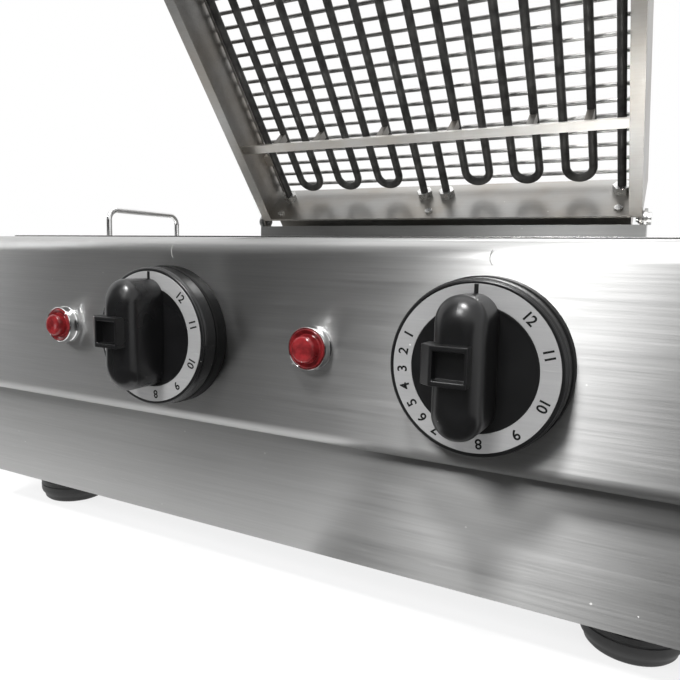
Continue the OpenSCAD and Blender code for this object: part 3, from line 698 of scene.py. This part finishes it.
@dataclass(frozen=True)
class Skin:
    """How a solid that already has its shape is dressed: one mesh, broken edges, a finish."""

    node: str
    finish: Finish
    edge: float = 0.0

    def dress(self) -> Piece:
        """Makes the shown piece from a merged copy of the solid."""
        piece = Bench.placed(f"{self.node}_shown", frame["nodes"][self.node].data.copy())
        with Bench.editing(piece, "VERT"):
            Bench.merge(Bench.solid_gap)
            bpy.ops.mesh.dissolve_limited(angle_limit=math.radians(Bench.flat_angle))
        if self.edge:
            Bench.break_edges(piece, self.edge)
        Bench.smooth(piece)
        Bench.finish(piece, self.finish, OWNERS[self.node], self.node)
        return piece


@dataclass
class Assembly:
    """Solids that keep their shape and are dressed together."""

    skins: tuple[Skin, ...] = ()

    def build(self) -> None:
        """Dresses the solids."""
        for skin in self.skins:
            skin.dress()


@dataclass
class Housing(Assembly):
    """Deck and control panel, lower casing, back, base, feet and what is behind the panel."""

    foot_x: float = 179.0
    foot_y: Pair = (48.0, 248.0)
    foot_r: float = 22.0
    foot_h: float = 22.0
    foot_steps: int = 72
    skins: tuple[Skin, ...] = (
        Skin("hood", BODY_STEEL, SHEET_EDGE),
        Skin("lower_casing", LOWER_STEEL, SHEET_EDGE),
        Skin("base_plate", ZINC_STEEL, SHEET_EDGE),
        Skin("rear_panel", ZINC_STEEL, SHEET_EDGE),
        Skin("heat_shield", ZINC_STEEL),
        *(Skin(f"{place}_screws", SCREW_STEEL, SCREW_EDGE) for place in ("foot", "hood", "rear")),
        Skin("terminal_block", CERAMIC, 0.3),
        Skin("cable_gland", GLAND_BLACK, 0.2),
        Skin("gland_nut", GLAND_BLACK, 0.2),
    )

    def build(self) -> None:
        """Makes every piece of the housing."""
        super().build()
        self.feet()

    def feet(self) -> None:
        """Turns one ribbed foot and copies it to the four corners."""
        r, h = self.foot_r, self.foot_h
        profile = [
            (5.3, 0.0), (r - 5.0, 0.0), (r - 3.5, 0.4), (r - 2.4, 1.5), (r - 2.0, 3.0), (r - 1.5, 4.1),
            (r - 0.6, 5.2), (r - 0.1, 6.5), (r, 7.5), (r, 10.0), (r - 0.5, 10.4), (r - 0.5, 11.0),
            (r, 11.4), (r, 13.6), (r - 0.5, 14.0), (r - 0.5, 14.6), (r, 15.0), (r, 17.2),
            (r - 0.5, 17.6), (r - 0.5, 18.2), (r, 18.6), (r, h - 0.8), (r - 0.8, h), (2.15, h),
            (2.15, h - 5.0), (5.3, h - 5.0), (5.3, 0.0),
        ]
        first = Vector((-self.foot_x, self.foot_y[0] - BODY_DEPTH / 2, 0.0)) * MM
        foot = Bench.lathe("foot_1", profile, first, Axis.UP, self.foot_steps)
        Bench.smooth(foot, TURNED)
        feet = [foot]
        for x, y in ((2 * self.foot_x, 0.0), (0.0, self.foot_y[1] - self.foot_y[0])):
            shift = Vector((x, y, 0.0)) * MM
            made = list(feet)
            feet += [Bench.copied(foot, f"foot_{len(made) + n}", shift) for n, foot in enumerate(made, 1)]
        Bench.finish(Bench.joined(feet, "feet_shown"), RUBBER, Body.BASE, "feet")


@dataclass
class Knob:
    """One regulator knob with its dial, collar and panel mark."""

    side: int
    numbers: tuple[tuple[int, float], ...] = (
        (1, 66.2), (2, 80.5), (3, 94.7), (4, 109.0), (5, 123.3), (6, 137.5),
        (7, 151.7), (8, 187.2), (9, 217.4), (10, 248.0), (11, 285.6), (12, 315.8),
    )
    skirt_r: float = 34.7
    skirt_back: float = -7.3
    face_y: float = -16.2
    dial_r: float = 32.5
    hole_r: float = 24.9
    dial_t: float = 0.6
    grip_x: float = -0.4
    grip_w: float = 19.2
    grip_up: float = 29.0
    grip_down: float = 24.5
    grip_y: float = -38.6
    grip_side: float = 6.2
    grip_end: float = 10.5
    grip_roll: float = 7.5
    grip_root: float = 1.0
    grip_steps: int = 12
    grip_flat: float = 0.05
    grip_segments: int = 14
    boss_low: Pair = (-12.2, -2.85)
    boss_high: Pair = (5.8, 11.65)
    boss_slope: Pair = (4.3, 3.1)
    boss_out: float = 4.5
    boss_root: float = 6.2
    boss_wall: float = 1.1
    boss_recess: float = 4.0
    boss_squeeze: float = 0.84
    boss_edge: float = 0.5
    collar_r: float = 35.3
    collar_t: float = 7.0
    number_r: float = 28.6
    number_size: float = 5.6
    number_bold: float = 0.12
    number_t: float = 0.012
    number_lift: float = 0.008
    number_space: float = 0.92
    tick_w: float = 1.7
    tick_reach: Pair = (5.4, 0.1)
    tick_y: Pair = (-0.02, 0.01)
    tick_edge: float = 0.15
    mark_place: Pair = (4.6, 7.7)
    mark_r: Pair = (4.3, 4.7)
    mark_y: Pair = (-0.05, 0.02)
    mark_arc: Pair = (84.0, -138.0)
    mark_steps: int = 20

    def __post_init__(self) -> None:
        """Takes the knob's name, place and body from its side."""
        self.name = SIDES[self.side]
        self.x = KNOB_X[self.side]
        self.body = (Body.KNOB_LEFT, Body.KNOB_RIGHT)[self.side]
        self.centre = row(self.x, 0.0, CONTROL_Z)

    def build(self) -> None:
        """Makes the knob's moulding, its dial and what is fixed behind it."""
        node = f"knob_{self.name}"
        for piece, angle in ((self.skirt(), TURNED), (self.grip(), DOMED), (self.boss(), TURNED)):
            Bench.smooth(piece, angle)
            Bench.finish(piece, KNOB_BLACK, self.body, node)
        dial = self.dial()
        Bench.smooth(dial)
        Bench.finish(dial, DIAL_SILVER, self.body, f"dial_{self.name}")
        Bench.finish(self.figures(), INK, self.body)
        collar = self.collar()
        Bench.smooth(collar, TURNED)
        Bench.finish(collar, COLLAR_BLACK, Body.BASE, f"collar_{self.name}")
        Bench.finish(self.mark(), PRINT_PALE, Body.BASE)
        Skin(f"shaft_{self.name}", SCREW_STEEL).dress()
        Skin(f"regulator_{self.name}", RESIN, 0.2).dress()

    def skirt(self) -> Piece:
        """The round skirt, with a rolled rim and the dial's seat."""
        r, front, seat = self.skirt_r, self.face_y, self.face_y + self.dial_t
        profile = [
            (0.0, front + 0.25), (self.hole_r - 1.6, front + 0.25), (self.hole_r - 1.0, front),
            (self.hole_r - 0.25, front), (self.hole_r - 0.05, front + 0.15), (self.hole_r - 0.05, seat),
            (self.dial_r + 0.05, seat), (self.dial_r + 0.05, front + 0.15), (self.dial_r + 0.2, front),
            (r - 1.5, front), (r - 1.05, front + 0.1), (r - 0.7, front + 0.4), (r - 0.55, front + 0.8),
            (r - 0.65, front + 1.25), (r - 0.7, front + 1.5), (r - 0.45, front + 1.8),
            (r - 0.15, front + 2.2), (r, front + 2.8), (r, self.skirt_back - 0.4),
            (r - 0.4, self.skirt_back), (0.0, self.skirt_back),
        ]
        return Bench.lathe(f"knob_{self.name}_skirt", profile, self.centre, Axis.FRONT, ROUND)

    def grip(self) -> Piece:
        """The upright grip: a bar with round ends whose front is drawn in to a dome."""
        half = Vector((self.grip_w / 2, 0.0, (self.grip_up + self.grip_down) / 2))
        middle = self.centre + Vector((self.grip_x, 0.0, (self.grip_up - self.grip_down) / 2)) * MM
        low = middle + (Vector((0.0, self.grip_y + self.grip_roll, 0.0)) - half) * MM
        high = middle + (Vector((0.0, self.face_y + self.grip_root, 0.0)) + half) * MM
        piece = Bench.block(f"knob_{self.name}_grip", low, high)
        with Bench.editing(piece, "EDGE"):
            Bench.pick_deep(piece)
            Bench.bevel(half.x - self.grip_flat, self.grip_segments)
        with Bench.editing(piece):
            Bench.pick_front(piece)
            for step in range(self.grip_steps):
                near, far = (math.radians(90.0 * edge / self.grip_steps) for edge in (step, step + 1))
                Bench.pull(Vector((0.0, self.grip_roll * (math.sin(near) - math.sin(far)) * MM, 0.0)))
                x, z = (
                    (size - draw * (1.0 - math.cos(far))) / (size - draw * (1.0 - math.cos(near)))
                    for size, draw in ((half.x, self.grip_side), (half.z, self.grip_end))
                )
                bpy.ops.transform.resize(value=(x, 1.0, z), center_override=middle)
        return piece

    def boss(self) -> Piece:
        """The square socket on the grip's front, whose left side slopes back."""
        front, (across, deep) = self.grip_y - self.boss_out, self.boss_slope
        (left, down), (right, up) = self.boss_low, self.boss_high
        low = self.centre + Vector((left, front + deep, down)) * MM
        high = self.centre + Vector((right, self.grip_y + self.boss_root, up)) * MM
        piece = Bench.block(f"knob_{self.name}_boss", low, high)
        with Bench.editing(piece):
            Bench.pick_front(piece)
            Bench.pull(Vector((0.0, -deep * MM, 0.0)))
            share = 1.0 - across / (right - left)
            bpy.ops.transform.resize(value=(share, 1.0, 1.0), center_override=high)
            bpy.ops.mesh.inset(thickness=self.boss_wall * MM)
            bpy.ops.transform.resize(value=(1.0, 1.0, self.boss_squeeze))
            Bench.pull(Vector((0.0, self.boss_recess * MM, 0.0)))
        Bench.break_edges(piece, self.boss_edge, 25.0)
        return piece

    def dial(self) -> Piece:
        """The silver ring in its seat."""
        front, back = self.face_y, self.face_y + self.dial_t - 0.02
        inner, outer = self.hole_r, self.dial_r
        profile = [
            (inner, back), (inner, front + 0.08), (inner + 0.08, front), (outer - 0.08, front),
            (outer, front + 0.08), (outer, back), (inner, back),
        ]
        return Bench.lathe(f"dial_{self.name}_shown", profile, self.centre, Axis.FRONT, ROUND)

    def figures(self) -> Piece:
        """The black numbers, tops outwards, and the off tick at the top."""
        pieces = [self.figure(number, angle) for number, angle in self.numbers]
        tick = Bench.block("tick", *(
            self.centre + Vector((side * self.tick_w / 2, self.face_y + deep, self.dial_r - reach)) * MM
            for side, deep, reach in zip((-1, 1), self.tick_y, self.tick_reach)
        ))
        with Bench.editing(tick, "EDGE"):
            Bench.pick_deep(tick)
            Bench.bevel(self.tick_edge, 2)
        return Bench.joined([tick, *pieces], f"dial_{self.name}_numbers")

    def figure(self, number: int, angle: float) -> Piece:
        """One number of the dial, as a thin print.

        Args:
            number: what it reads.
            angle: its place, in degrees left of the top.

        Returns:
            The print.
        """
        Bench.clear()
        bpy.ops.object.text_add()
        letters = bpy.context.object
        letters.data.body = str(number)
        letters.data.size = self.number_size
        letters.data.align_x = letters.data.align_y = "CENTER"
        letters.data.offset = self.number_bold
        letters.data.extrude = self.number_t
        letters.data.space_character = self.number_space
        bpy.ops.object.convert(target="MESH")
        figure = bpy.context.object
        turn = math.radians(angle)
        out = Vector((-math.sin(turn), 0.0, math.cos(turn)))
        spot = self.centre + (out * self.number_r + Vector((0.0, self.face_y - self.number_lift, 0.0))) * MM
        stand = Matrix.Rotation(-turn, 4, "Y") @ Matrix.Rotation(math.radians(90.0), 4, "X")
        figure.matrix_world = Matrix.Translation(spot) @ stand @ Matrix.Scale(MM, 4)
        bpy.ops.object.transform_apply()
        with Bench.editing(figure, "VERT"):
            Bench.merge(Bench.print_gap)
        return figure

    def collar(self) -> Piece:
        """The fixed ring on the panel."""
        r, t = self.collar_r, self.collar_t
        profile = [
            (6.2, -0.02), (r - 0.2, -0.02), (r, -0.25), (r, 1.0 - t), (r - 0.1, 0.55 - t),
            (r - 0.4, 0.15 - t), (r - 0.9, -t), (r - 4.6, -t), (r - 5.0, 0.4 - t), (r - 5.0, -1.5),
            (6.2, -1.5), (6.2, -0.02),
        ]
        return Bench.lathe(f"collar_{self.name}_shown", profile, self.centre, Axis.FRONT, ROUND)

    def mark(self) -> Piece:
        """The small arc on the panel that the dial is read against."""
        (right, below), (inner, outer), (front, back) = self.mark_place, self.mark_r, self.mark_y
        centre = row(self.x + right, 0.0, -below)
        profile = [(inner, front), (outer, front), (outer, back), (inner, back), (inner, front)]
        name = f"panel_mark_{self.name}"
        return Bench.lathe(name, profile, centre, Axis.FRONT, self.mark_steps, *self.mark_arc)


@dataclass
class PilotLamp:
    """One red pilot lamp."""

    side: int
    bezel_r: float = 10.4
    lens_r: float = 9.1
    neck_r: float = 6.25
    button_r: float = 6.1
    out: float = 6.0
    button_out: float = 4.2

    def build(self) -> None:
        """Turns the bezel and the lens, and dresses the lamp's body."""
        name, centre = SIDES[self.side], row(LAMP_X[self.side], 0.0, CONTROL_Z)
        turned = (("bezel", self.bezel_profile(), LAMP_CHROME), ("lens", self.lens_profile(), LAMP_RED))
        for part, profile, finish in turned:
            node = f"lamp_{part}_{name}"
            piece = Bench.lathe(f"{node}_shown", profile, centre, Axis.FRONT)
            Bench.smooth(piece, ROLLED)
            Bench.finish(piece, finish, Body.BASE, node)
        Skin(f"lamp_body_{name}", GLAND_BLACK).dress()

    def bezel_profile(self) -> Profile:
        """A dished ring with a rolled lip."""
        r, out, inner = self.bezel_r, self.out, self.lens_r + 0.05
        return [
            (self.neck_r, -0.02), (r - 0.1, -0.02), (r, -0.2), (r, -1.0), (r - 0.2, -1.3),
            (r - 0.55, -1.7), (r - 0.75, -3.2), (r - 0.6, 1.3 - out), (r - 0.45, 0.8 - out),
            (r - 0.55, 0.25 - out), (r - 0.8, -out), (inner + 0.2, 0.15 - out), (inner, 0.45 - out),
            (inner, -1.5), (self.neck_r, -1.5), (self.neck_r, -0.02),
        ]

    def lens_profile(self) -> Profile:
        """A stepped lens: a ringed, dished skirt round a raised button."""
        r, b, top, step = self.lens_r, self.button_r, -self.out - self.button_out, -self.out - 0.2
        return [
            (0.0, top + 0.5), (1.6, top + 0.42), (2.9, top + 0.18), (3.9, top), (b - 1.2, top + 0.04),
            (b - 0.7, top + 0.3), (b - 0.25, top + 0.85), (b, top + 1.6), (b, step + 0.6),
            (b + 0.3, step + 1.1), (b + 0.8, step + 1.2), (b + 1.2, step + 0.8), (b + 1.7, step + 0.7),
            (b + 2.0, step + 0.3), (r - 0.5, step), (r - 0.15, step + 0.2), (r, step + 0.7),
            (r, -1.6), (0.0, -1.6),
        ]


@dataclass
class Controls(Assembly):
    """Both knobs, both lamps and their fixings."""

    skins: tuple[Skin, ...] = (
        Skin("regulator_screws", SCREW_STEEL),
        Skin("lamp_nuts", ZINC_STEEL),
    )

    def build(self) -> None:
        """Makes the control panel's pieces."""
        for side in (0, 1):
            Knob(side).build()
            PilotLamp(side).build()
        super().build()


@dataclass
class LiquidPan(Assembly):
    """The lift-out pan and its two handles."""

    skins: tuple[Skin, ...] = (
        Skin("pan", PAN_STEEL, SHEET_EDGE),
        *(Skin(f"pan_handle_{side}", CHROME_ROD) for side in SIDES),
    )


@dataclass
class Hinge(Assembly):
    """The bracket behind the pan and the hinge's hardware."""

    skins: tuple[Skin, ...] = (
        Skin("hinge_bracket", SHADED_HINGE_STEEL, SHEET_EDGE),
        Skin("bracket_screws", SCREW_STEEL, SCREW_EDGE),
        Skin("hinge_pins", SCREW_STEEL, SCREW_EDGE),
        Skin("friction_washers", WASHER_STEEL),
        Skin("retaining_rings", WASHER_STEEL),
    )


@dataclass
class TiltingFrame(Assembly):
    """The cooking frame: walls, elements, grid, supports, terminals and lift handle."""

    inner_x: float = 150.0
    skins: tuple[Skin, ...] = (
        Skin("cooking_frame", FRAME_STEEL, SHEET_EDGE),
        Skin("support_bars", BAR_STEEL, SHEET_EDGE),
        Skin("element_clips", SOOT_AND_SHADE_STEEL, 0.1),
        *(Skin(f"element_{side}", SHEATH) for side in SIDES),
        Skin("element_glands", SCREW_STEEL, SCREW_EDGE),
        Skin("gland_lock_nuts", SCREW_STEEL, SCREW_EDGE),
        Skin("ceramic_beads", CERAMIC, 0.15),
        Skin("terminal_studs", SCREW_STEEL),
        Skin("terminal_cover", FRAME_STEEL, SHEET_EDGE),
        Skin("cover_screws", SCREW_STEEL, SCREW_EDGE),
        Skin("grid", WIRE),
        Skin("grid_clips", BAR_STEEL, 0.1),
        Skin("frame_rests", CHROME_ROD, 0.15),
        Skin("handle_posts", CHROME_ROD),
        Skin("handle_grip", KNOB_BLACK, 0.4),
    )

    def build(self) -> None:
        """Dresses the frame, then paints shade on the inside faces of its side walls with the darker steel.
        """
        for skin in self.skins:
            piece = skin.dress()
            if skin.node == "cooking_frame":
                self.soot(piece)

    def soot(self, piece: Piece) -> None:
        """Paints shade on the inside of both side walls: those faces get the darker steel."""
        piece.data.materials.append(SOOT_AND_SHADE_STEEL.material())
        for face in piece.data.polygons:
            inward = -face.normal.x * math.copysign(1.0, face.center.x)
            # Faces on the side walls that look inward take the darker steel as painted shade.
            if inward > FACING and abs(face.center.x) > self.inner_x * MM:
                face.material_index = 1


@dataclass(frozen=True)
class SoftBox:
    """A rectangular studio light."""

    name: str
    place: Point
    aim: Point
    width: float
    height: float
    power: float

    def hang(self) -> None:
        """Hangs the light and points it."""
        lamp = bpy.data.lights.new(self.name, "AREA")
        lamp.shape = "RECTANGLE"
        lamp.size, lamp.size_y, lamp.energy = self.width, self.height, self.power
        hung = Bench.placed(self.name, lamp)
        hung.location = self.place
        hung.rotation_euler = (Vector(self.aim) - Vector(self.place)).to_track_quat("-Z", "Y").to_euler()


@dataclass(frozen=True)
class Flag:
    """A matte card between two corners, upright or lying down."""

    name: str
    low: Point
    high: Point

    def stand(self) -> Piece:
        """Puts the card in its place, as part of the studio."""
        low, high = Vector(self.low), Vector(self.high)
        Bench.clear()
        bpy.ops.mesh.primitive_plane_add(size=1.0, location=(0.0, 0.0, 0.0))
        card = Bench.start(self.name)
        for corner in card.data.vertices:
            across, up = corner.co.x + 0.5, corner.co.y + 0.5
            corner.co = low + Vector((across, up, up)) * (high - low)
        card.visible_camera = card.visible_diffuse = card.visible_shadow = False
        return card


@dataclass
class Studio:
    """Pale floor, white background, soft lights and the camera."""

    camera_place: Point = (0.1883, -0.37932, 0.16763)
    camera_turn: float = 27.93
    camera_dip: float = 7.2
    camera_roll: float = 1.24
    camera_lens: float = 34.16
    camera_sensor: float = 36.0
    camera_reach: Pair = (0.01, 100.0)
    white: Point = (1.0, 1.0, 1.0)
    room_tone: Point = (0.42, 0.42, 0.425)
    floor_tone: Point = (0.86, 0.86, 0.86)
    floor_glow: float = 0.8
    floor_r: float = 9.0
    floor_gap: float = 0.0002
    cloth_tone: Point = (0.05, 0.05, 0.05)
    boxes: tuple[SoftBox, ...] = (
        SoftBox("key", (-0.13, -1.45, 1.13), (0.1, -0.12, -0.05), 0.24, 0.36, 11.5),
        SoftBox("second", (0.13, -1.15, 1.9), (0.15, -0.12, -0.05), 0.36, 0.3, 40.0),
        SoftBox("left", (-1.7, -1.2, 1.1), (0.0, -0.1, 0.12), 0.5, 0.5, 8.5),
        SoftBox("top", (0.0, 0.3, 2.3), (0.0, 0.0, 0.1), 2.2, 1.8, 14.0),
    )
    cards: tuple[Flag, ...] = (
        Flag("flag_front", (-1.05, -0.63, 0.004), (-0.02, -0.63, 1.3)),
        Flag("flag_right", (-0.02, -0.63, 0.004), (0.62, -0.63, 0.34)),
        Flag("flag_floor_left", (-1.0, -0.63, 0.004), (0.02, -0.21, 0.004)),
        Flag("flag_floor_right", (0.02, -0.63, 0.004), (0.62, -0.116, 0.004)),
    )

    def build(self) -> None:
        """Sets the scene up."""
        bpy.context.scene.view_settings.view_transform = "Standard"
        self.camera()
        self.world()
        self.floor()
        self.flags()
        for box in self.boxes:
            box.hang()

    def camera(self) -> None:
        """Stands the camera to the right of the panel, looking down along it."""
        turn, dip = math.radians(self.camera_turn), math.radians(self.camera_dip)
        ahead = Vector((-math.sin(turn) * math.cos(dip), math.cos(turn) * math.cos(dip), -math.sin(dip)))
        seen = Bench.placed("camera", bpy.data.cameras.new("camera"))
        seen.data.sensor_width = self.camera_sensor
        seen.data.lens = self.camera_lens
        seen.data.clip_start, seen.data.clip_end = self.camera_reach
        level = ahead.to_track_quat("-Z", "Y").to_matrix().to_4x4()
        roll = Matrix.Rotation(math.radians(self.camera_roll), 4, "Z")
        seen.matrix_world = Matrix.Translation(Vector(self.camera_place)) @ level @ roll
        bpy.context.scene.camera = seen

    @staticmethod
    def seen_share(nodes: Tree) -> Socket:
        """One for rays that show the background: straight, reflected and through glass."""
        path, rays = nodes.add("ShaderNodeLightPath"), ("Camera", "Glossy", "Transmission")
        camera, glossy, through = (path.outputs[f"Is {ray} Ray"] for ray in rays)
        return nodes.maths("MAXIMUM", camera, nodes.maths("MAXIMUM", glossy, through))

    def world(self) -> None:
        """A white background over a plain pale room light."""
        room = bpy.data.worlds.new("room")
        bpy.context.scene.world = room
        nodes = Tree.of(room)
        light, white = (nodes.plain("Background", tone) for tone in (self.room_tone, self.white))
        nodes.blended(self.seen_share(nodes), light, white, nodes.add("ShaderNodeOutputWorld"))

    def floor(self) -> None:
        """A wide pale floor that keeps the object's shadow."""
        Bench.clear()
        bpy.ops.mesh.primitive_circle_add(
            vertices=96, radius=self.floor_r, fill_type="NGON", location=(0.0, 0.0, -self.floor_gap)
        )
        floor = Bench.start("floor")
        pale = bpy.data.materials.new("pale_floor")
        nodes = Tree.of(pale)
        card, glow = nodes.plain("BsdfDiffuse", self.floor_tone), nodes.plain("Emission", self.white)
        share = nodes.maths("MULTIPLY", self.seen_share(nodes), self.floor_glow)
        nodes.blended(share, card, glow, nodes.add("ShaderNodeOutputMaterial"))
        floor.data.materials.append(pale)

    def flags(self) -> None:
        """Dark matte cards in front, which only shiny surfaces show."""
        cloth = bpy.data.materials.new("flag_cloth")
        nodes = Tree.of(cloth)
        end = nodes.add("ShaderNodeOutputMaterial")
        nodes.link(nodes.plain("BsdfDiffuse", self.cloth_tone).outputs[0], end.inputs["Surface"])
        for flag in self.cards:
            flag.stand().data.materials.append(cloth)


def main() -> None:
    """Builds the studio and each sub-assembly in order."""
    logging.basicConfig(level=logging.INFO, format="%(name)s: %(message)s")
    Studio().build()
    for part in (Housing(), Controls(), LiquidPan(), Hinge(), TiltingFrame()):
        part.build()
        LOG.info("%s is done", type(part).__name__)


if __name__ == "__main__":
    main()
